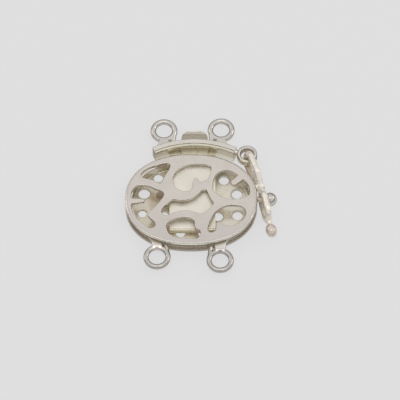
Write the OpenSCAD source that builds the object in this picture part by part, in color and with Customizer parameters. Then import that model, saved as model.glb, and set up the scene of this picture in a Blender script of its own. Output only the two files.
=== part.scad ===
// Two-strand box clasp in pierced silver, shown fastened and lying on its back.
// +X is to the right, +Y is towards the tongue's thumb tab, +Z is up, out of the pierced front.
// The origin is the middle of the box's back face. All sizes are in millimetres.

/* [Box] */
// Width of the oval front and back plates, across the strands
plate_w = 18.0; // [16:0.1:20]
// Length of the oval plates, along the strands
plate_l = 14.1; // [13:0.1:15]
// Fullness of the oval: 2 is an ellipse, more is squarer
oval_power = 2.18; // [2:0.02:2.5]
// Height of the box, back face to front face
box_h = 2.4; // [2.3:0.05:2.6]
// Thickness of the pierced front plate
front_t = 0.55; // [0.4:0.05:0.6]
// Thickness of the back plate
back_t = 0.45; // [0.35:0.05:0.5]
// How far the side band is set in from the plates' edges
band_inset = 0.55; // [0.4:0.05:0.7]
// Thickness of the side band
band_t = 0.45; // [0.35:0.05:0.6]
// How far the plates' outer edges are rounded over
rim_round = 0.16; // [0.08:0.02:0.2]

/* [Blade] */
// Width of the folded blade
blade_w = 6.3; // [5.5:0.1:6.6]
// How far the blade sits to the right of the box's middle
blade_x = 0.15; // [0:0.05:0.3]
// Thickness of the blade's sheet
sheet_t = 0.22; // [0.18:0.01:0.24]
// Where the blade's fold lies inside the box, along Y
fold_y = -4.2; // [-4.6:0.1:-3.8]
// Height of the fold's centre
fold_z = 0.94; // [0.92:0.01:1.0]
// Outer radius of the fold
fold_r = 0.40; // [0.35:0.01:0.42]
// Height of the upper leaf's middle just inside the mouth, where it is highest
leaf_high_z = 1.62; // [1.5:0.01:1.65]
// Height of the upper leaf's middle where it passes through the end plate
leaf_low_z = 1.19; // [1.15:0.01:1.3]
// Side clearance of the blade in the mouth
mouth_gap = 0.2; // [0.1:0.05:0.4]

/* [Thumb tab] */
// Width of the thumb tab
tab_w = 3.65; // [3:0.05:4]
// How far the thumb tab's end lies from the box's middle
tab_end_y = 11.2; // [10.8:0.05:11.5]
// How far the thumb tab's end turns up
tab_lift = 0.36; // [0:0.02:0.5]
// Radius of the thumb tab's corners
tab_corner = 1.0; // [0.4:0.1:1.2]

/* [End plate] */
// Outer radius of the arched end plate
end_r = 13.2; // [12.5:0.1:14]
// Thickness of the end plate, both bands together
end_t = 1.1; // [0.9:0.05:1.2]
// Half of the angle that the end plate spans, degrees
end_half_angle = 26.2; // [24:0.1:26.4]
// Where the middle of the end plate's outer face lies, along Y
end_front_y = 9.5; // [9.4:0.05:9.8]

/* [Strand loops] */
// Radius of the hole that a strand's ring passes through
loop_hole_r = 1.14; // [1:0.01:1.2]
// Radius of the wire of the box's loops
box_loop_wire_r = 0.37; // [0.3:0.01:0.4]
// Radius of the wire of the tongue's loops, which is a little thicker
tongue_loop_wire_r = 0.40; // [0.3:0.01:0.42]

/* [Safety catch] */
// Height of the hinge ring, the peg and the catch above the back face
catch_z = 1.8; // [1.78:0.01:1.9]
// Radius of the hinge ring, to the middle of its wall
ring_r = 1.14; // [1.1:0.01:1.2]
// Thickness of the hinge ring's wall
ring_t = 0.54; // [0.4:0.02:0.56]
// Height of the hinge ring
ring_h = 1.1; // [0.6:0.05:1.1]
// Radius of the catch's wire in its upper half
upper_wire_r = 0.42; // [0.36:0.01:0.43]
// Radius of the catch's wire in its lower half, where it is drawn a little thinner
lower_wire_r = 0.38; // [0.3:0.01:0.38]
// Distance from the hinge to the crossing of the figure eight
waist_s = 5.27; // [5.2:0.01:5.3]
// Length of the catch, hinge to the middle of the tip
tip_s = 12.2; // [12:0.05:12.4]
// Lean of the upper half of the catch away from the box, degrees
lean_upper = 18.6; // [18.4:0.1:19.0]
// Lean of the lower half of the catch away from the box, degrees
lean_lower = 11.9; // [11.8:0.1:12.5]
// Roll of the upper half about its length, its top away from the box, degrees
roll_upper = 12; // [8:1:14]
// Roll of the lower half about its length, its top away from the box, degrees
roll_lower = 5; // [0:1:5]
// How far each strand passes to the side of the catch's middle at the crossing
strand_side = 0.2; // [0.15:0.01:0.22]
// Radius of the ball on the peg
peg_ball_r = 0.95; // [0.8:0.01:0.95]
// Radius of the peg's stem
peg_r = 0.33; // [0.25:0.01:0.4]

/* [Hidden] */

silver = [0.80, 0.78, 0.75];
warm_silver = [0.84, 0.81, 0.74];

// Points round the oval, and sub-steps between two control points of a pierced opening
oval_steps = 120;
curve_steps = 3;
// Overlap that joins soldered pieces, and how far a cut runs past a face
bite = 0.1;

front_z = box_h - front_t;
// The hinge ring's centre and the ball's centre, seen from above
ring_at = [7.68, 7.08];
peg_at = [10.69, 0.11];
// The end plate's centre of curvature
end_centre = [0.45, end_front_y - end_r];
end_in_r = end_r - end_t;

// Strand loops. Columns: x, y, y where the shank starts inside the wall, half width of its solder there
box_loops = [
    [-4.56, -8.46, -5.55, 1.30],
    [3.89, -8.99, -5.75, 1.35],
];
tongue_loops = [
    [-3.82, 11.45, 8.55, 1.25],
    [4.14, 11.58, 8.55, 1.25],
];
loop_z = 1.2;
shank_h = 0.84;

// Round holes of the back plate. Columns: x, y, radius
back_holes = [
    [-4.55, 4.35, 0.66],
    [4.50, 3.95, 0.70],
    [-6.45, 1.85, 0.80],
    [6.25, 1.75, 0.74],
    [-6.65, -1.30, 0.60],
    [6.30, -1.60, 0.72],
    [-3.70, -1.60, 0.66],
    [3.65, -1.75, 0.70],
    [-1.45, -4.35, 0.62],
    [1.60, -4.35, 0.62],
    [0.10, 1.40, 0.80],
];

// The seven pierced openings of the front plate, each a closed curve through these points.
// Columns: x, y, measured from the plate's middle.
leaf_upper_left = [
    [-2.92, 5.38], [-3.60, 5.50], [-4.50, 5.26], [-5.40, 4.98],
    [-6.15, 4.58], [-6.75, 4.02], [-6.82, 3.42], [-6.10, 3.08],
    [-5.20, 2.86], [-4.60, 2.46], [-4.15, 2.30], [-3.86, 2.90],
    [-3.50, 3.72], [-3.02, 4.62],
];
scroll_left = [
    [-7.50, 1.90], [-6.60, 2.00], [-5.75, 1.90], [-4.95, 1.50],
    [-4.15, 1.20], [-3.70, 0.72], [-3.88, 0.12], [-4.40, -0.66],
    [-5.02, -1.42], [-5.60, -2.05], [-5.86, -2.62], [-5.45, -3.20],
    [-4.90, -3.72], [-4.84, -4.30], [-5.38, -4.62], [-6.02, -4.40],
    [-6.55, -3.88], [-7.20, -3.30], [-7.75, -2.60], [-8.04, -1.75],
    [-8.14, -0.85], [-8.18, 0.10], [-8.12, 1.00],
];
scroll_top = [
    [-2.52, 3.10], [-2.24, 4.00], [-1.55, 4.70], [-0.72, 5.20],
    [0.25, 5.42], [1.30, 5.42], [2.30, 5.28], [2.74, 4.90],
    [2.60, 4.00], [2.40, 3.20], [1.90, 2.76], [1.25, 2.62],
    [0.86, 3.08], [0.40, 3.10], [0.20, 2.55], [0.26, 1.85],
    [-0.05, 1.30], [-0.80, 1.08], [-1.60, 1.28], [-2.24, 1.84],
];
wave_middle = [
    [-4.04, -2.15], [-3.72, -1.35], [-3.10, -0.72], [-2.48, -0.18],
    [-1.60, -0.30], [-0.60, -0.24], [0.30, 0.12], [1.00, 0.72],
    [1.58, 1.32], [2.06, 1.30], [2.34, 0.64], [2.70, -0.12],
    [3.04, -0.76], [2.62, -1.40], [2.00, -2.06], [1.25, -2.40],
    [0.45, -2.12], [-0.45, -1.88], [-1.45, -1.96], [-2.45, -2.30],
    [-3.40, -2.68],
];
scroll_bottom = [
    [-3.34, -4.50], [-3.10, -3.76], [-2.30, -3.22], [-1.30, -2.98],
    [-0.20, -3.04], [0.40, -3.48], [0.48, -4.20], [0.66, -4.70],
    [1.20, -4.98], [1.22, -5.70], [0.78, -6.22], [0.00, -6.24],
    [-1.10, -6.16], [-2.20, -5.98], [-2.95, -5.45],
];
scroll_right = [
    [2.92, 1.25], [2.92, 2.10], [3.05, 3.05], [3.50, 3.85],
    [4.20, 4.32], [5.00, 4.42], [5.70, 4.16], [6.30, 3.72],
    [7.00, 3.10], [7.60, 2.42], [7.94, 1.60], [7.92, 0.72],
    [7.35, 0.12], [6.40, -0.06], [5.40, -0.16], [4.50, 0.04],
    [3.60, 0.62],
];
leaf_lower_right = [
    [3.14, -2.30], [3.60, -1.86], [4.25, -1.38], [5.00, -1.12],
    [5.90, -1.10], [6.75, -1.26], [7.34, -1.80], [7.38, -2.55],
    [6.95, -3.32], [6.25, -3.92], [5.40, -4.28], [4.55, -4.18],
    [3.90, -3.72], [3.54, -3.72], [3.42, -4.42], [3.20, -5.08],
    [2.62, -5.30], [2.22, -4.90], [2.36, -4.00], [2.74, -3.10],
];

// Fingers of metal left standing in the scrolls. Columns: x and y of the root, x and y of the tip,
// width at the root, width at the tip.
fingers = [
    [-8.55, -0.44, -6.55, -0.36, 1.00, 0.46],
    [7.05, 3.55, 5.84, 2.50, 0.95, 0.84],
];

// Shapes for the openings
function signed_power(v, p) = sign(v) * pow(abs(v), p);
function oval(inset) = [
    for (i = [0 : oval_steps - 1])
        let (a = 360 * i / oval_steps)
        [
            (plate_w / 2 - inset) * signed_power(cos(a), 2 / oval_power),
            (plate_l / 2 - inset) * signed_power(sin(a), 2 / oval_power)
        ]
];
function spline(a, b, c, d, t) =
    0.5 * (2 * b + (c - a) * t + (2 * a - 5 * b + 4 * c - d) * t * t + (3 * b - a - 3 * c + d) * t * t * t);
function closed_curve(p) = [
    for (i = [0 : len(p) - 1], k = [0 : curve_steps - 1])
        let (n = len(p))
        spline(p[(i + n - 1) % n], p[i], p[(i + 1) % n], p[(i + 2) % n], k / curve_steps)
];

// A straight round rod from one point to another
module rod(from, to, r) {
    v = to - from;
    len_xy = norm([v[0], v[1]]);
    translate(from)
        rotate([0, atan2(len_xy, v[2]), atan2(v[1], v[0])])
            cylinder(r = r, h = norm(v), $fn = 32);
}

// A tapering finger of metal with a round tip
module finger(f) {
    root = [f[0], f[1]];
    tip = [f[2], f[3]];
    along = (tip - root) / norm(tip - root);
    across = [-along[1], along[0]];
    root_side = across * f[4] / 2;
    tip_side = across * f[5] / 2;
    polygon([root + root_side, tip + tip_side, tip - tip_side, root - root_side]);
    translate(tip) circle(r = f[5] / 2, $fn = 24);
}

// An oval plate whose outer edge is rounded over in two small steps on its top side
module oval_plate(t) {
    step_h = 0.6 * rim_round;
    step_in = 0.35 * rim_round;
    linear_extrude(t - rim_round) polygon(oval(0));
    translate([0, 0, t - rim_round]) linear_extrude(step_h) polygon(oval(step_in));
    translate([0, 0, t - rim_round + step_h]) linear_extrude(rim_round - step_h) polygon(oval(rim_round));
}

module front_openings() {
    difference() {
        union() {
            polygon(closed_curve(scroll_left));
            polygon(closed_curve(scroll_right));
        }
        for (f = fingers) finger(f);
    }
    polygon(closed_curve(leaf_upper_left));
    polygon(closed_curve(scroll_top));
    polygon(closed_curve(wave_middle));
    polygon(closed_curve(scroll_bottom));
    polygon(closed_curve(leaf_lower_right));
}

module front_plate() {
    color(silver)
    translate([0, 0, front_z])
        difference() {
            oval_plate(front_t);
            translate([0, 0, -bite]) linear_extrude(front_t + 2 * bite) front_openings();
        }
}

module back_plate() {
    color(silver)
    difference() {
        translate([0, 0, back_t]) mirror([0, 0, 1]) oval_plate(back_t);
        for (h = back_holes)
            translate([h[0], h[1], -bite]) cylinder(r = h[2], h = back_t + 2 * bite, $fn = 32);
    }
}

// The side band runs round between the plates and is open where the blade goes in
module side_band() {
    color(silver)
    difference() {
        translate([0, 0, back_t - bite])
            linear_extrude(front_z - back_t + 2 * bite)
                difference() {
                    polygon(oval(band_inset));
                    polygon(oval(band_inset + band_t));
                }
        translate([blade_x - blade_w / 2 - mouth_gap, 0, back_t])
            cube([blade_w + 2 * mouth_gap, plate_l, front_z - back_t]);
    }
}

// A ring of wire, its hole trued to a short round bore, on a shank that flares into solder. The end
// of the wire runs straight in beside the shank, on the side towards the box's middle.
// dir is -1 where the loop hangs off the -Y side and +1 off the +Y side.
module strand_loop(row, dir, wire_r) {
    land = 0.05;
    loop_r = loop_hole_r + wire_r - land;
    reach = abs(row[1] - row[2]) - loop_r;
    flare_y = dir * 0.42 * reach;
    flare_x = 0.62 * row[3];
    neck_x = 0.46 * row[3];
    inward = -sign(row[0]);
    leg_r = wire_r - 0.06;
    leg_slant = 0.35;
    leg_short = 0.2;
    color(silver)
    difference() {
        union() {
            translate([row[0], row[1], loop_z])
                rotate_extrude($fn = 48) translate([loop_r, 0]) circle(r = wire_r, $fn = 32);
            rod(
                [row[0] + inward * loop_r, row[1], loop_z],
                [row[0] + inward * (loop_r - leg_slant), row[2] + dir * leg_short, loop_z],
                leg_r
            );
            translate([row[0], row[2], loop_z - shank_h / 2])
                linear_extrude(shank_h)
                    polygon([
                        [-row[3], 0],
                        [-flare_x, flare_y],
                        [-neck_x, dir * reach],
                        [neck_x, dir * reach],
                        [flare_x, flare_y],
                        [row[3], 0],
                    ]);
        }
        translate([row[0], row[1], -bite]) cylinder(r = loop_hole_r, h = box_h, $fn = 48);
    }
}

// The peg on the right wall, with the ball that the safety catch goes over
module catch_peg() {
    root_x = plate_w / 2 - band_inset - band_t + bite;
    color(silver) {
        rod([root_x, peg_at[1], catch_z], [peg_at[0], peg_at[1], catch_z], peg_r);
        translate([peg_at[0], peg_at[1], catch_z]) sphere(r = peg_ball_r, $fn = 48);
    }
}

module box() {
    front_plate();
    back_plate();
    side_band();
    for (row = box_loops) strand_loop(row, -1, box_loop_wire_r);
    catch_peg();
}

// The arched end plate: a thick outer band and a thin inner one, with a groove between their tops
module end_plate() {
    lip_t = 0.32;
    groove_w = 0.09;
    groove_d = 0.30;
    soft = 0.10;
    window_z = 0.76;
    window_h = 0.95;
    past = 1;
    color(silver)
    difference() {
        translate([end_centre[0], end_centre[1], 0])
            rotate_extrude(angle = 2 * end_half_angle, start = 90 - end_half_angle, $fn = 96)
                polygon([
                    [end_in_r, 0],
                    [end_r - soft, 0],
                    [end_r, soft],
                    [end_r, box_h - soft],
                    [end_r - soft, box_h],
                    [end_in_r + lip_t + groove_w, box_h],
                    [end_in_r + lip_t + groove_w, box_h - groove_d],
                    [end_in_r + lip_t, box_h - groove_d],
                    [end_in_r + lip_t, box_h],
                    [end_in_r, box_h],
                ]);
        translate([end_centre[0] - tab_w / 2 - mouth_gap, end_centre[1] + end_in_r - past, window_z])
            cube([tab_w + 2 * mouth_gap, end_t + 2 * past, window_h]);
    }
}

// The lower leaf is soldered into the end plate and folds back on itself inside the box
module lower_leaf() {
    let_in = 0.4;
    end_y = end_centre[1] + end_in_r + let_in;
    color(warm_silver) {
        translate([blade_x - blade_w / 2, fold_y, fold_z - fold_r])
            cube([blade_w, end_y - fold_y, sheet_t]);
        difference() {
            translate([blade_x - blade_w / 2, fold_y, fold_z])
                rotate([0, 90, 0]) cylinder(r = fold_r, h = blade_w, $fn = 48);
            translate([blade_x - blade_w / 2 - bite, fold_y, fold_z])
                rotate([0, 90, 0]) cylinder(r = fold_r - sheet_t, h = blade_w + 2 * bite, $fn = 48);
            translate([blade_x - blade_w / 2 - bite, fold_y, fold_z - 2 * fold_r])
                cube([blade_w + 2 * bite, 2 * fold_r, 4 * fold_r]);
        }
    }
}

// The ring that the safety catch hangs in, soldered to the end plate's right end. It is cut from thick
// tube, and its edges are bevelled.
module hinge_ring() {
    bevel = 0.16;
    in_r = ring_r - ring_t / 2;
    out_r = ring_r + ring_t / 2;
    solder_r = 0.42;
    root_in = 0.15;
    root_out = 0.06;
    mid_r = end_r - end_t / 2;
    ring_centre = [ring_at[0], ring_at[1], catch_z];
    solder_root = [
        end_centre[0] + mid_r * sin(end_half_angle) - root_in,
        end_centre[1] + mid_r * cos(end_half_angle) + root_out,
        catch_z
    ];
    toward = (solder_root - ring_centre) / norm(solder_root - ring_centre);
    color(silver) {
        translate(ring_centre)
            rotate_extrude($fn = 48)
                polygon([
                    [in_r, -ring_h / 2 + bevel],
                    [in_r + bevel, -ring_h / 2],
                    [out_r - bevel, -ring_h / 2],
                    [out_r, -ring_h / 2 + bevel],
                    [out_r, ring_h / 2 - bevel],
                    [out_r - bevel, ring_h / 2],
                    [in_r + bevel, ring_h / 2],
                    [in_r, ring_h / 2 - bevel],
                ]);
        rod(solder_root, ring_centre + toward * ring_r, solder_r);
    }
}

module tongue() {
    end_plate();
    lower_leaf();
    for (row = tongue_loops) strand_loop(row, 1, tongue_loop_wire_r);
    hinge_ring();
}

// The upper leaf springs up from the fold to just inside the mouth, steps down, passes through the
// end plate and ends in the thumb tab, whose end turns up. The running gap parts the leaf from the fold.
running_gap = 0.03;
step_top_y = 6.20;
step_foot_y = 7.50;
tab_bend_l = 1.25;
tab_curl_l = 0.50;
// Columns: y and z of the sheet's middle
leaf_profile = [
    [fold_y + running_gap, fold_z + fold_r - sheet_t / 2],
    [step_top_y, leaf_high_z],
    [step_foot_y, leaf_low_z],
    [tab_end_y - tab_bend_l, leaf_low_z],
    [tab_end_y - tab_curl_l, leaf_low_z + 0.35 * tab_lift],
    [tab_end_y, leaf_low_z + tab_lift],
];

// The sheet that follows the profile, width w, centred on x
module leaf_sheet(x, w) {
    n = len(leaf_profile);
    translate([x - w / 2, 0, 0])
        rotate([90, 0, 90])
            linear_extrude(w)
                polygon([
                    for (i = [0 : n - 1]) [leaf_profile[i][0], leaf_profile[i][1] + sheet_t / 2],
                    for (i = [n - 1 : -1 : 0]) [leaf_profile[i][0], leaf_profile[i][1] - sheet_t / 2],
                ]);
}

module spring_leaf() {
    neck_y = step_foot_y + 0.2;
    color(warm_silver) {
        intersection() {
            leaf_sheet(blade_x, blade_w);
            translate([blade_x - blade_w, fold_y - 1, 0]) cube([2 * blade_w, neck_y - fold_y + 1, box_h]);
        }
        intersection() {
            leaf_sheet(end_centre[0], tab_w);
            linear_extrude(box_h)
                translate([end_centre[0], 0]) {
                    translate([-tab_w / 2, neck_y - bite])
                        square([tab_w, tab_end_y - tab_corner - neck_y + bite]);
                    translate([-tab_w / 2 + tab_corner, tab_end_y - tab_corner - bite])
                        square([tab_w - 2 * tab_corner, tab_corner + bite]);
                    for (side = [-1, 1])
                        translate([side * (tab_w / 2 - tab_corner), tab_end_y - tab_corner])
                            circle(r = tab_corner, $fn = 48);
                }
        }
    }
}

// One lobe of the figure eight. Its two straight wires leave the crossing side by side and meet round
// two arcs of the same radius, centred near and far along +X. The lobe's plane is the XY plane rolled
// about +X. The straights are a hair thinner than the arcs, and run a little way into them.
module lobe(r, near, far, roll, wire_r) {
    open_angle = asin(r / near);
    straight_r = wire_r - 0.02;
    run_in = 0.12;
    for (side = [-1, 1]) {
        from = [0, 0, side * strand_side];
        turn_y = side * r * cos(open_angle);
        turn_in = [near - r * sin(open_angle), turn_y * cos(roll), turn_y * sin(roll)];
        heading = (turn_in - from) / norm(turn_in - from);
        rod(from, turn_in + heading * run_in, straight_r);
    }
    rotate([roll, 0, 0]) {
        for (side = [0, 1])
            mirror([0, side, 0]) {
                translate([near, 0, 0])
                    rotate_extrude(angle = open_angle, start = 90, $fn = 64)
                        translate([r, 0]) circle(r = wire_r, $fn = 32);
                rod([near - run_in, r, 0], [far + run_in, r, 0], straight_r);
            }
        translate([far, 0, 0])
            rotate_extrude(angle = 180, start = -90, $fn = 64)
                translate([r, 0]) circle(r = wire_r, $fn = 32);
    }
}

// The tip: a short neck and an olive-shaped ball, along +X
module catch_tip(from, to) {
    neck_r = 0.30;
    olive_r = 0.76;
    olive_l = 1.0;
    steps = 16;
    rod([from - neck_r / 2, 0, 0], [to, 0, 0], neck_r);
    translate([to, 0, 0])
        rotate([0, 90, 0])
            rotate_extrude($fn = 48)
                polygon([
                    for (i = [0 : steps])
                        let (a = i * 180 / steps)
                        [olive_r * sin(a), olive_l * cos(a)]
                ]);
}

// The wire catch stands on edge: its upper lobe runs through the hinge ring and its lower lobe goes
// over the ball on the peg. The two strands pass each other side by side at the crossing, where they
// are soldered, and both lobes lean out at the top.
module safety_catch() {
    upper_r = 1.12;
    upper_near = 2.2;
    upper_far = waist_s - upper_r;
    lower_r = 1.38;
    lower_near = 2.5;
    lower_far = 3.74;
    solder_r = 0.46;
    solder_past = 0.36;
    solder_h = 2 * (strand_side + solder_past);
    upper_turn = lean_upper - 90;
    lower_turn = lean_lower - 90;
    color(silver)
    translate([ring_at[0], ring_at[1], catch_z])
        rotate([0, 0, upper_turn])
            translate([waist_s, 0, 0]) {
                rotate([90, 0, 0]) cylinder(r = solder_r, h = solder_h, center = true, $fn = 48);
                rotate([90, 0, 180]) lobe(upper_r, upper_near, upper_far, roll_upper, upper_wire_r);
                rotate([0, 0, lower_turn - upper_turn])
                    rotate([90, 0, 0]) {
                        lobe(lower_r, lower_near, lower_far, -roll_lower, lower_wire_r);
                        catch_tip(lower_far + lower_r, tip_s - waist_s);
                    }
            }
}

box();
tongue();
spring_leaf();
safety_catch();
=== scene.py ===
from math import cos, pi, radians, sin, sqrt

import bpy
from mathutils import Matrix, Vector
from mathutils.bvhtree import BVHTree


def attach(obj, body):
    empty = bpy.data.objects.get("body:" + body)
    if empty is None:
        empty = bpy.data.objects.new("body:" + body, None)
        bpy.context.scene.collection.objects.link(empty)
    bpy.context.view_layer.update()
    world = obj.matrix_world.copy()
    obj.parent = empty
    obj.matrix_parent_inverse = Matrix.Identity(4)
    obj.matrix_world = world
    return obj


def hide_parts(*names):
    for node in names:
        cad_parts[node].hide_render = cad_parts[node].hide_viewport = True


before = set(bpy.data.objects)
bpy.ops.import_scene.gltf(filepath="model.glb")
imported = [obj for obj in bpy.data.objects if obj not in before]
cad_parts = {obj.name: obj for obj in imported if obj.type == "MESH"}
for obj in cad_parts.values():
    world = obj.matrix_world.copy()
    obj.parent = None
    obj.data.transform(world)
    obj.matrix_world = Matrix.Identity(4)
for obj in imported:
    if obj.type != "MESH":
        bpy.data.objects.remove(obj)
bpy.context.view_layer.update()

MM = 0.001
VIEW_HEIGHT = radians(60)
VIEW_TILT = pi / 2 - VIEW_HEIGHT
VIEW_DISTANCE = 250 * MM
TO_CAMERA = Vector((0, -cos(VIEW_HEIGHT), sin(VIEW_HEIGHT)))
LOOK_AT = Vector((1.194, -0.235, 2.264)) * MM
FIELD = 54.27 * MM
SENSOR = 36.0
NEAREST = 0.01
FARTHEST = 10
TABLE_SIDE = 3
TABLE_GAP = 0.01 * MM
CARD = (0.14, 0.14, 0.1415)
CARD_ROUGH = 0.9
CARD_GLOW = 4.4
HOLE_R = 50 * MM
HOLE_AWAY = 1.2 * VIEW_DISTANCE
HOLE_DARK = (0.035, 0.026, 0.018)
FELT_R = 1.2
FELT_H = 0.42
FELT_LIFT = 0.05
FELT_BROWN = (0.055, 0.045, 0.036)
TENT_WHITE = (1.0, 0.99, 0.975)
TENT_LIGHT = 0.84
WARM = (1.0, 0.98, 0.94)
NEUTRAL = (1.0, 0.99, 0.97)
# Columns: name, place, size, watts, colour
PANELS = (
    ("panel_top", (0.0, -0.02, 0.80), (0.36, 0.20), 0.35, WARM),
    ("panel_right", (0.75, 0.25, 0.38), (0.34, 0.34), 0.55, NEUTRAL),
    ("panel_left", (-0.75, 0.35, 0.34), (0.30, 0.34), 0.35, WARM),
)


def plain_material(name, color, roughness=1.0, glow=0.0):
    material = bpy.data.materials.new(name)
    material.use_nodes = True
    shader = material.node_tree.nodes["Principled BSDF"]
    shader.inputs["Base Color"].default_value = (*color, 1)
    shader.inputs["Roughness"].default_value = roughness
    if glow:
        shader.inputs["Emission Color"].default_value = (*color, 1)
        shader.inputs["Emission Strength"].default_value = glow
    return material


camera_data = bpy.data.cameras.new("camera")
camera_data.sensor_width = SENSOR
camera_data.lens = SENSOR * VIEW_DISTANCE / FIELD
camera_data.clip_start = NEAREST
camera_data.clip_end = FARTHEST
camera = bpy.data.objects.new("camera", camera_data)
camera.location = LOOK_AT + VIEW_DISTANCE * TO_CAMERA
camera.rotation_euler = (VIEW_TILT, 0, 0)
bpy.context.collection.objects.link(camera)
bpy.context.scene.camera = camera

bpy.ops.mesh.primitive_plane_add(size=TABLE_SIDE, location=(0, 0, -TABLE_GAP))
table = bpy.context.object
table.name = "table_top"
table.data.materials.append(plain_material("pale_card", CARD, CARD_ROUGH, CARD_GLOW))

bpy.ops.mesh.primitive_circle_add(
    vertices=48, radius=HOLE_R, fill_type="NGON", location=LOOK_AT + HOLE_AWAY * TO_CAMERA
)
hole = bpy.context.object
hole.name = "tent_hole"
hole.rotation_euler = (VIEW_TILT, 0, 0)
hole.data.materials.append(plain_material("dark_room", HOLE_DARK))

bpy.ops.mesh.primitive_cylinder_add(
    vertices=96, radius=FELT_R, depth=FELT_H, end_fill_type="NOTHING",
    location=(0, 0, FELT_H / 2 + FELT_LIFT),
)
flag = bpy.context.object
flag.name = "dark_flag"
flag.data.materials.append(plain_material("brown_felt", FELT_BROWN))

world = bpy.data.worlds.new("tent")
world.use_nodes = True
world.node_tree.nodes["Background"].inputs["Color"].default_value = (*TENT_WHITE, 1)
world.node_tree.nodes["Background"].inputs["Strength"].default_value = TENT_LIGHT
bpy.context.scene.world = world
for name, place, size, watts, color in PANELS:
    light = bpy.data.lights.new(name, "AREA")
    light.shape = "RECTANGLE"
    light.size, light.size_y = size
    light.energy = watts
    light.color = color
    panel = bpy.data.objects.new(name, light)
    panel.location = place
    towards = Vector((0, 0, 0)) - Vector(place)
    panel.rotation_euler = towards.to_track_quat("-Z", "Y").to_euler()
    bpy.context.collection.objects.link(panel)
bpy.context.scene.view_settings.view_transform = "Standard"

# The box's body: back plate, side band and the two strand loops of round wire that are soldered
# to it. Sheet and wire of worn silver, one soldered piece, with its edges rubbed soft.
SHEET_CELL = 0.05
SHEET_RUBS = 10
MERGE = 0.0005
SOFTEN = 0.5
MOST_TRIANGLES = 190000
SKY_LOOKS = 36
SKY_START = 0.09 * MM
SKY_REACH = 3.0 * MM
GOLDEN_ANGLE = 2.399963
EDGE_LOWEST = -0.95
EDGE_HIGHEST = -0.6
BLURS = 2
# Noises on the metal, in mm: scale, detail
CLOUDS = (0.45, 4)
STAINS = (0.8, 3)
SHINE = (2.6, 6)
DENTS = (1.1, 2)
SCRATCHES = (3.0, 5)
SCRATCH_TURN = radians(24)
SCRATCH_STRETCH = (1.0, 9.0, 9.0)
DENT_DEPTH = 0.03 * MM
SCRATCH_DEPTH = 0.004 * MM
# From where to where each of these sets in
CLOUD_RANGE = (0.35, 0.65)
STAIN_RANGE = (0.46, 0.62)
SHINE_RANGE = (0.3, 0.7)
SKY_RANGE = (0.15, 0.80)
EDGE_RANGE = (0.12, 0.45)
SMOOTHER = 0.05
ROUGHER = 0.07
SHELTERED = 0.6
CLOUD_TONE = 0.93
# Colour of the edges: rubbed bright, and a painted highlight.
EDGE_RUB_AND_HIGHLIGHT = (0.93, 0.90, 0.84)
EDGE_SHARE = 0.8
# Edge tint of the metal's reflection, dark: painted shade along the outlines seen edge-on.
RIM = (0.42, 0.38, 0.35)
DULLED = 0.04
TARNISHED = 0.4
STAIN = (0.86, 0.80, 0.72)
GREY = (0.53, 0.51, 0.485)
# Columns: middle in mm, half sizes in mm, power
OVALS = {
    "plate": ((0, 0), (9.0, 7.05), 2.18),
    "end arc": ((0.45, -3.7), (1, 1), 2),
    "hinge": ((7.68, 7.08), (1, 1), 2),
    "brown spot": ((-4.33, 1.52), (0.52, 0.70), 2),
    "olive patch": ((-5.0, 0.1), (0.8, 1.2), 2),
}


def nearby_metal():
    """All the CAD nodes as one tree, to see what shelters a spot."""
    points, faces = [], []
    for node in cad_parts.values():
        start = len(points)
        points += [v.co.copy() for v in node.data.vertices]
        faces += [[start + i for i in face.vertices] for face in node.data.polygons]
    return BVHTree.FromPolygons(points, faces)


def looks_around():
    """Directions spread evenly over a ball, along a spiral from its top to its foot."""
    looks = []
    for i in range(SKY_LOOKS):
        z = 1 - (2 * i + 1) / SKY_LOOKS
        turn, out = GOLDEN_ANGLE * i, sqrt(1 - z * z)
        looks.append(Vector((cos(turn) * out, sin(turn) * out, z)))
    return looks


METAL = nearby_metal()
LOOKS = looks_around()


def note_shelter_and_edges(piece):
    """Keeps, at each point, how much of its surroundings is open, which places the sheltered
    colour: tarnish that stays where nothing rubs, lightened on most pieces as painted fill light;
    and how much the metal falls away beside it, which places the bright edges: rubbed bright, and a
    painted highlight."""
    sky, edge = [], []
    for vertex in piece.data.vertices:
        start = vertex.co + vertex.normal * SKY_START
        free = whole = missed = below = 0.0
        for look in LOOKS:
            facing = vertex.normal.dot(look)
            if facing > 0:
                whole += facing
                if METAL.ray_cast(start, look, SKY_REACH)[0] is None:
                    free += facing
            elif EDGE_LOWEST < facing < EDGE_HIGHEST:
                below += 1
                if METAL.ray_cast(start, look, SKY_REACH)[0] is None:
                    missed += 1
        sky.append(free / whole)
        edge.append(missed / max(below, 1))
    links = [tuple(link.vertices) for link in piece.data.edges]
    for name, values in (("open_sky", sky), ("on_edge", edge)):
        for _ in range(BLURS):
            total, share = values[:], [1] * len(values)
            for a, b in links:
                total[a] += values[b]
                total[b] += values[a]
                share[a] += 1
                share[b] += 1
            values = [t / n for t, n in zip(total, share)]
        piece.data.attributes.new(name, "FLOAT", "POINT").data.foreach_set("value", values)


def apply_modifier(piece, name, kind, **settings):
    modifier = piece.modifiers.new(name, kind)
    for key, value in settings.items():
        setattr(modifier, key, value)
    bpy.ops.object.modifier_apply(modifier=name)


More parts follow.
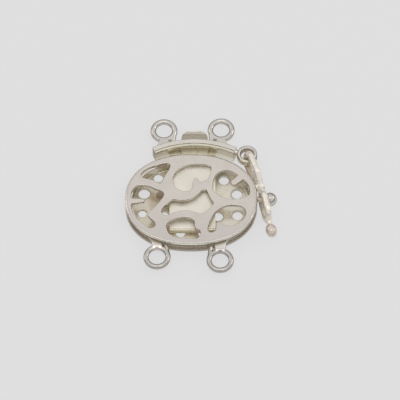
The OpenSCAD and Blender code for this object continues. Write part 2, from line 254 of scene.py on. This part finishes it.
def soft_copy(node, name, cell, rubs, most=MOST_TRIANGLES, cuts=(), swell=None):
    """A copy of a CAD node whose edges are worn round. Each cut keeps the side its normal points
    to. A swell is how much fuller the piece gets, and the top and the end where that fades."""
    bpy.ops.object.select_all(action="DESELECT")
    piece = bpy.data.objects.new(name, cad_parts[node].data.copy())
    bpy.context.collection.objects.link(piece)
    piece.select_set(True)
    bpy.context.view_layer.objects.active = piece
    bpy.ops.mesh.customdata_custom_splitnormals_clear()
    piece.data.transform(Matrix.Scale(1 / MM, 4))
    bpy.ops.object.mode_set(mode="EDIT")
    bpy.ops.mesh.select_all(action="SELECT")
    bpy.ops.mesh.remove_doubles(threshold=MERGE)
    for place, normal in cuts:
        bpy.ops.mesh.select_all(action="SELECT")
        bpy.ops.mesh.bisect(plane_co=place, plane_no=normal, use_fill=False, clear_inner=True)
        bpy.ops.mesh.select_all(action="DESELECT")
        bpy.ops.mesh.select_mode(type="EDGE")
        bpy.ops.mesh.select_non_manifold(extend=False)
        bpy.ops.mesh.fill()
        bpy.ops.mesh.select_mode(type="VERT")
    bpy.ops.object.mode_set(mode="OBJECT")
    apply_modifier(piece, "skin", "REMESH", mode="VOXEL", voxel_size=cell)
    apply_modifier(piece, "wear", "SMOOTH", factor=SOFTEN, iterations=rubs)
    if swell:
        more, top, end, fade = swell
        room = piece.vertex_groups.new(name="room")
        for vertex in piece.data.vertices:
            share = min((top - vertex.co.z) / fade, (vertex.co.y - end) / fade)
            room.add([vertex.index], min(1, max(0, share)), "REPLACE")
        apply_modifier(piece, "fuller", "DISPLACE", vertex_group="room", strength=more, mid_level=0)
    have = sum(len(face.vertices) - 2 for face in piece.data.polygons)
    if have > most:
        apply_modifier(piece, "thin", "DECIMATE", ratio=most / have)
    piece.data.transform(Matrix.Scale(MM, 4))
    bpy.ops.object.shade_smooth()
    piece.data.materials.clear()
    note_shelter_and_edges(piece)
    return piece


def silver(name, bright, tarnish_and_fill_light, rough, dents=0.35, scratches=0.25, rim=RIM, tints=(), metal=1.0,
           dulled=DULLED, tarnished=TARNISHED, stain=STAIN):
    """Worn silver with faint dents and scratches. Rubbed edges are bright, partly wear and partly a
    painted highlight; sheltered spots take a warm tarnish, which most pieces set lighter than the
    open metal as painted fill light; a dark edge tint on the reflection paints shade along the
    outlines.
    Each tint has a measure, where it sets in, where it is full, its share there, and its colour."""
    material = bpy.data.materials.new(name)
    material.use_nodes = True
    tree = material.node_tree
    shader = tree.nodes["Principled BSDF"]
    # The dark edge tint paints shade along the outlines seen edge-on.
    shader.inputs["Specular Tint"].default_value = (*rim, 1)
    place = tree.nodes.new("ShaderNodeTexCoord")
    in_mm = tree.nodes.new("ShaderNodeMapping")
    in_mm.inputs["Scale"].default_value = (1 / MM, 1 / MM, 1 / MM)
    tree.links.new(place.outputs["Object"], in_mm.inputs["Vector"])

    def connect(value, socket):
        if isinstance(value, tuple):
            socket.default_value = (*value, 1)
        elif isinstance(value, (int, float)):
            socket.default_value = value
        else:
            tree.links.new(value, socket)

    def noise(scale, detail, turn=0, stretch=None):
        node = tree.nodes.new("ShaderNodeTexNoise")
        node.inputs["Scale"].default_value = scale
        node.inputs["Detail"].default_value = detail
        source = in_mm
        if stretch:
            source = tree.nodes.new("ShaderNodeMapping")
            source.inputs["Rotation"].default_value = (0, 0, turn)
            source.inputs["Scale"].default_value = stretch
            tree.links.new(in_mm.outputs["Vector"], source.inputs["Vector"])
        tree.links.new(source.outputs["Vector"], node.inputs["Vector"])
        return node.outputs["Fac"]

    def stored_value(attribute):
        node = tree.nodes.new("ShaderNodeAttribute")
        node.attribute_name = attribute
        return node.outputs["Fac"]

    def fit(value, low, high, to_low, to_high):
        node = tree.nodes.new("ShaderNodeMapRange")
        keys = ("Value", "From Min", "From Max", "To Min", "To Max")
        for key, number in zip(keys, (value, low, high, to_low, to_high)):
            connect(number, node.inputs[key])
        return node.outputs["Result"]

    def blend(share, first, second):
        node = tree.nodes.new("ShaderNodeMix")
        node.data_type = "RGBA"
        for key, value in (("Factor", share), ("A", first), ("B", second)):
            connect(value, node.inputs[key])
        return node.outputs["Result"]

    def calculate(operation, *values):
        node = tree.nodes.new("ShaderNodeMath")
        node.operation = operation
        for socket, value in zip(node.inputs, values):
            connect(value, socket)
        return node.outputs["Value"]

    def from_middle(middle, half, power):
        """How far out a spot is on an oval of these half sizes: 0 in its middle, 1 on its edge."""
        parts = []
        for i in (0, 1):
            away = calculate("SUBTRACT", spot.outputs[i], middle[i])
            share = calculate("ABSOLUTE", calculate("DIVIDE", away, half[i]))
            parts.append(calculate("POWER", share, power))
        return calculate("POWER", calculate("ADD", *parts), 1 / power)

    def bump(strength, depth, height, under=None):
        node = tree.nodes.new("ShaderNodeBump")
        node.inputs["Distance"].default_value = depth
        tree.links.new(fit(hidden, 0, SHELTERED, strength, 0), node.inputs["Strength"])
        tree.links.new(height, node.inputs["Height"])
        if under:
            tree.links.new(under, node.inputs["Normal"])
        return node.outputs["Normal"]

    dull = tuple(CLOUD_TONE * c for c in bright)
    clouds = blend(fit(noise(*CLOUDS), *CLOUD_RANGE, 0, 1), bright, dull)
    # Sheltered spots take a warm tarnish with stains, which most pieces set lighter than the open
    # metal as painted fill light.
    hidden = fit(stored_value("open_sky"), *SKY_RANGE, 1, 0)
    spots = tuple(c * part for c, part in zip(tarnish_and_fill_light, stain))
    hollow_tarnish_and_fill_light = blend(fit(noise(*STAINS), *STAIN_RANGE, 0, 1), tarnish_and_fill_light, spots)
    color = blend(hidden, clouds, hollow_tarnish_and_fill_light)
    spot = tree.nodes.new("ShaderNodeSeparateXYZ")
    tree.links.new(in_mm.outputs["Vector"], spot.inputs["Vector"])
    for measure, first, second, share, tint in tints:
        value = spot.outputs[measure] if measure in spot.outputs else from_middle(*OVALS[measure])
        color = blend(fit(value, first, second, 0, share), color, tint)
    # Edges turn bright: rubbed bright, and a painted highlight.
    color = blend(fit(stored_value("on_edge"), *EDGE_RANGE, 0, EDGE_SHARE), color, EDGE_RUB_AND_HIGHLIGHT)
    shine = fit(noise(*SHINE), *SHINE_RANGE, rough - SMOOTHER, rough + ROUGHER)
    roughness = calculate("ADD", shine, fit(hidden, 0, 1, 0, dulled))
    dented = bump(dents, DENT_DEPTH, noise(*DENTS))
    lines = noise(*SCRATCHES, SCRATCH_TURN, SCRATCH_STRETCH)
    scratched = bump(scratches, SCRATCH_DEPTH, lines, under=dented)
    tree.links.new(color, shader.inputs["Base Color"])
    tree.links.new(roughness, shader.inputs["Roughness"])
    tree.links.new(fit(hidden, 0, 1, metal, metal - tarnished), shader.inputs["Metallic"])
    tree.links.new(scratched, shader.inputs["Normal"])
    return material


PLATE_UNDERSIDE = 1.85
HAIR = 0.005
PEG_START = 9.2
# Each cut: a point of its plane, and the way towards the side that stays
UNDER_PLATE = ((0, 0, PLATE_UNDERSIDE - HAIR), (0, 0, -1))
OVER_PLATE = ((0, 0, PLATE_UNDERSIDE + HAIR), (0, 0, 1))
WITHOUT_PEG = ((PEG_START, 0, 0), (-1, 0, 0))

box_body = soft_copy("box", "box_body", SHEET_CELL, SHEET_RUBS, cuts=(UNDER_PLATE, WITHOUT_PEG))
box_body.data.materials.append(silver(
    # The sheltered colour is a warm tarnish set lighter than the open metal: painted fill light in
    # the box's hollows.
    "silver_box_body", bright=(0.84, 0.80, 0.74), tarnish_and_fill_light=(0.97, 0.92, 0.77), rough=0.20,
    tints=(
        ("X", -3.4, -4.5, 0.35, (0.62, 0.54, 0.40)),
        # Painted shade: the side band and the back plate's rim around it, under the front plate's
        # overhang, painted dark brown; further out a plain silver colour takes over.
        ("plate", 0.895, 0.915, 0.5, (0.42, 0.36, 0.29)),
        ("plate", 1.03, 1.06, 1.0, (0.80, 0.76, 0.70)),
        ("Y", -7.2, -7.6, 0.85, GREY),
        # Painted shade: the low parts, the back plate's edge and the walls of its holes, painted
        # dark brown.
        ("Z", 0.46, 0.40, 0.45, (0.38, 0.33, 0.28)),
        ("olive patch", 1.2, 0.7, 0.7, (0.58, 0.50, 0.37)),
        ("brown spot", 1.05, 0.85, 0.95, (0.40, 0.31, 0.25)),
        ("Z", 0.06, 0.01, 1.0, (0.74, 0.70, 0.65)),
    ),
    tarnished=0.7,
))
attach(box_body, "box")
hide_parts("box")

# The front plate: one oval sheet, cut through with scrolls and leaves, soldered on top of the band.
# Its face has gone satin with wear and turns darker and pinker towards its -Y edge. Its rim has a
# painted highlight with a painted dark line just inside it.
front_plate = soft_copy(
    "box", "front_plate", SHEET_CELL, SHEET_RUBS, cuts=(OVER_PLATE, WITHOUT_PEG)
)
front_plate.data.materials.append(silver(
    # The sheltered colour, mostly on the walls of the openings, is set much lighter than the face:
    # painted light on those walls.
    "silver_front", bright=(0.735, 0.685, 0.640), tarnish_and_fill_light=(0.97, 0.94, 0.87), rough=0.26,
    dents=0.25, scratches=0.12,
    tints=(
        ("Y", -0.5, -6.5, 0.8, (0.650, 0.598, 0.575)),
        # A painted dark line just inside the rim, then a painted highlight along the rim.
        ("plate", 0.955, 0.965, 0.35, (0.42, 0.38, 0.33)),
        ("plate", 0.973, 0.982, 1.0, (0.90, 0.87, 0.81)),
    ),
    dulled=-0.14, tarnished=0.0, stain=(0.93, 0.90, 0.86),
))
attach(front_plate, "box")

# The peg on the box's right wall that the safety catch snaps over: a round stem with a polished
# ball. The ball is melted onto the stem's end.
BALL_AT = Vector((10.69, 0.11, 1.8)) * MM
BALL_R = 0.947 * MM
BALL_RINGS = 40
BALL_SEGMENTS = 64
STEM_R = 0.33 * MM
STEM_START = 8.6 * MM
SHARP_FROM = radians(50)

bpy.ops.object.select_all(action="DESELECT")
bpy.ops.mesh.primitive_uv_sphere_add(
    segments=BALL_SEGMENTS, ring_count=BALL_RINGS, radius=BALL_R, location=BALL_AT,
    rotation=(0, -pi / 2, 0),
)
catch_peg = bpy.context.object
catch_peg.name = "catch_peg"
bpy.ops.object.transform_apply(location=True, rotation=True, scale=True)
bpy.ops.object.mode_set(mode="EDIT")
bpy.ops.mesh.select_all(action="DESELECT")
bpy.ops.mesh.select_mode(type="FACE")
bpy.ops.object.mode_set(mode="OBJECT")
for face in catch_peg.data.polygons:
    reach = Vector((0, face.center.y - BALL_AT.y, face.center.z - BALL_AT.z)).length
    face.select = face.center.x < BALL_AT.x and reach < STEM_R
bpy.ops.object.mode_set(mode="EDIT")
bpy.ops.mesh.extrude_region_move(
    TRANSFORM_OT_translate={"value": (STEM_START - (BALL_AT.x - BALL_R), 0, 0)}
)
bpy.ops.object.mode_set(mode="OBJECT")
bpy.ops.object.shade_smooth_by_angle(angle=SHARP_FROM)
note_shelter_and_edges(catch_peg)
catch_peg.data.materials.append(silver(
    "silver_peg", bright=(0.70, 0.67, 0.62), tarnish_and_fill_light=(0.66, 0.59, 0.48), rough=0.30,
    dents=0.1, scratches=0.1,
))
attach(catch_peg, "box")

# The tongue: arched end plate of two bands, the blade's lower leaf, two strand loops and the hinge
# ring. All soldered together, of the same worn silver.
TONGUE_CELL = 0.032
TONGUE_RUBS = 9

tongue_body = soft_copy("tongue", "tongue_body", TONGUE_CELL, TONGUE_RUBS)
tongue_body.data.materials.append(silver(
    # The sheltered colour is a warm tarnish set lighter than the open metal: painted fill light in
    # the tongue's hollows.
    "silver_tongue_body", bright=(0.78, 0.745, 0.69), tarnish_and_fill_light=(0.87, 0.81, 0.65), rough=0.20,
    tints=(
        ("end arc", 12.24, 12.16, 0.7, (0.72, 0.67, 0.50)),
        # Painted light: the lowest parts, the lower leaf deep in the cleft beside the neck, painted
        # pale cream.
        ("Z", 1.0, 0.8, 0.9, (0.97, 0.93, 0.80)),
        ("end arc", 13.22, 13.30, 0.45, GREY),
        # Painted shade: the inner face of the hinge ring painted dark brown.
        ("hinge", 0.93, 0.88, 0.7, (0.32, 0.26, 0.20)),
    ),
    tarnished=0.6,
))
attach(tongue_body, "tongue")
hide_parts("tongue")

# The upper leaf of the folded blade and its thumb tab: one strip of satin sheet silver, bent to
# shape. It springs from the fold at the blade's far end.
LEAF_RUBS = 4
LEAF_TRIANGLES = 90000

blade_leaf = soft_copy("spring_leaf", "blade_leaf", SHEET_CELL, LEAF_RUBS, LEAF_TRIANGLES)
blade_leaf.data.materials.append(silver(
    # The sheltered colour is set lighter than the open metal: painted fill light where the leaf
    # lies under the plate.
    "silver_leaf_sheet", bright=(0.86, 0.825, 0.735), tarnish_and_fill_light=(0.92, 0.88, 0.77), rough=0.30,
    dents=0.15,
    tints=(
        ("Y", 6.85, 7.1, 0.8, (0.90, 0.85, 0.70)),
        # Painted shade: the thumb tab painted dark, with a darker painted shade line along its
        # crease; past the crease it is painted less dark.
        ("Y", 9.2, 9.6, 0.9, (0.30, 0.265, 0.215)),
        ("Y", 10.58, 10.66, 0.8, (0.24, 0.20, 0.16)),
        ("Y", 10.74, 10.84, 1.0, (0.56, 0.53, 0.47)),
    ),
    dulled=0.0, tarnished=0.6, stain=(0.94, 0.92, 0.88),
))
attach(blade_leaf, "spring_leaf")
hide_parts("spring_leaf")

# The safety catch: a figure eight of polished wire that hangs in the hinge ring, with a ball at its
# tip for the fingernail, soldered where the wires cross.
WIRE_CELL = 0.035
WIRE_RUBS = 14
WIRE_SWELL = 0.05
SWELL_TOP = 3.52
SWELL_END = -3.7
SWELL_FADE = 0.3

catch_wire = soft_copy(
    "safety_catch", "catch_wire", WIRE_CELL, WIRE_RUBS,
    swell=(WIRE_SWELL, SWELL_TOP, SWELL_END, SWELL_FADE),
)
catch_wire.data.materials.append(silver(
    "silver_catch_wire", bright=(0.96, 0.90, 0.82), tarnish_and_fill_light=(0.90, 0.83, 0.72), rough=0.26,
    dents=0.04, scratches=0.05, rim=(0.75, 0.70, 0.65),
    tints=(
        # Painted shade: the lower wires of the upper loop, near the ring, painted brown; below Y
        # 1.6 the wire takes one plain pale colour.
        ("Z", 1.7, 1.1, 0.55, (0.56, 0.48, 0.36)),
        ("Y", 2.3, 1.6, 1.0, (0.95, 0.90, 0.82)),
        # Painted dark reflection: the ball at the tip painted a darker tan.
        ("Y", -3.7, -4.0, 1.0, (0.74, 0.66, 0.58)),
    ),
    metal=0.5, tarnished=0.25,
))
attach(catch_wire, "safety_catch")
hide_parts("safety_catch")

bpy.context.view_layer.update()
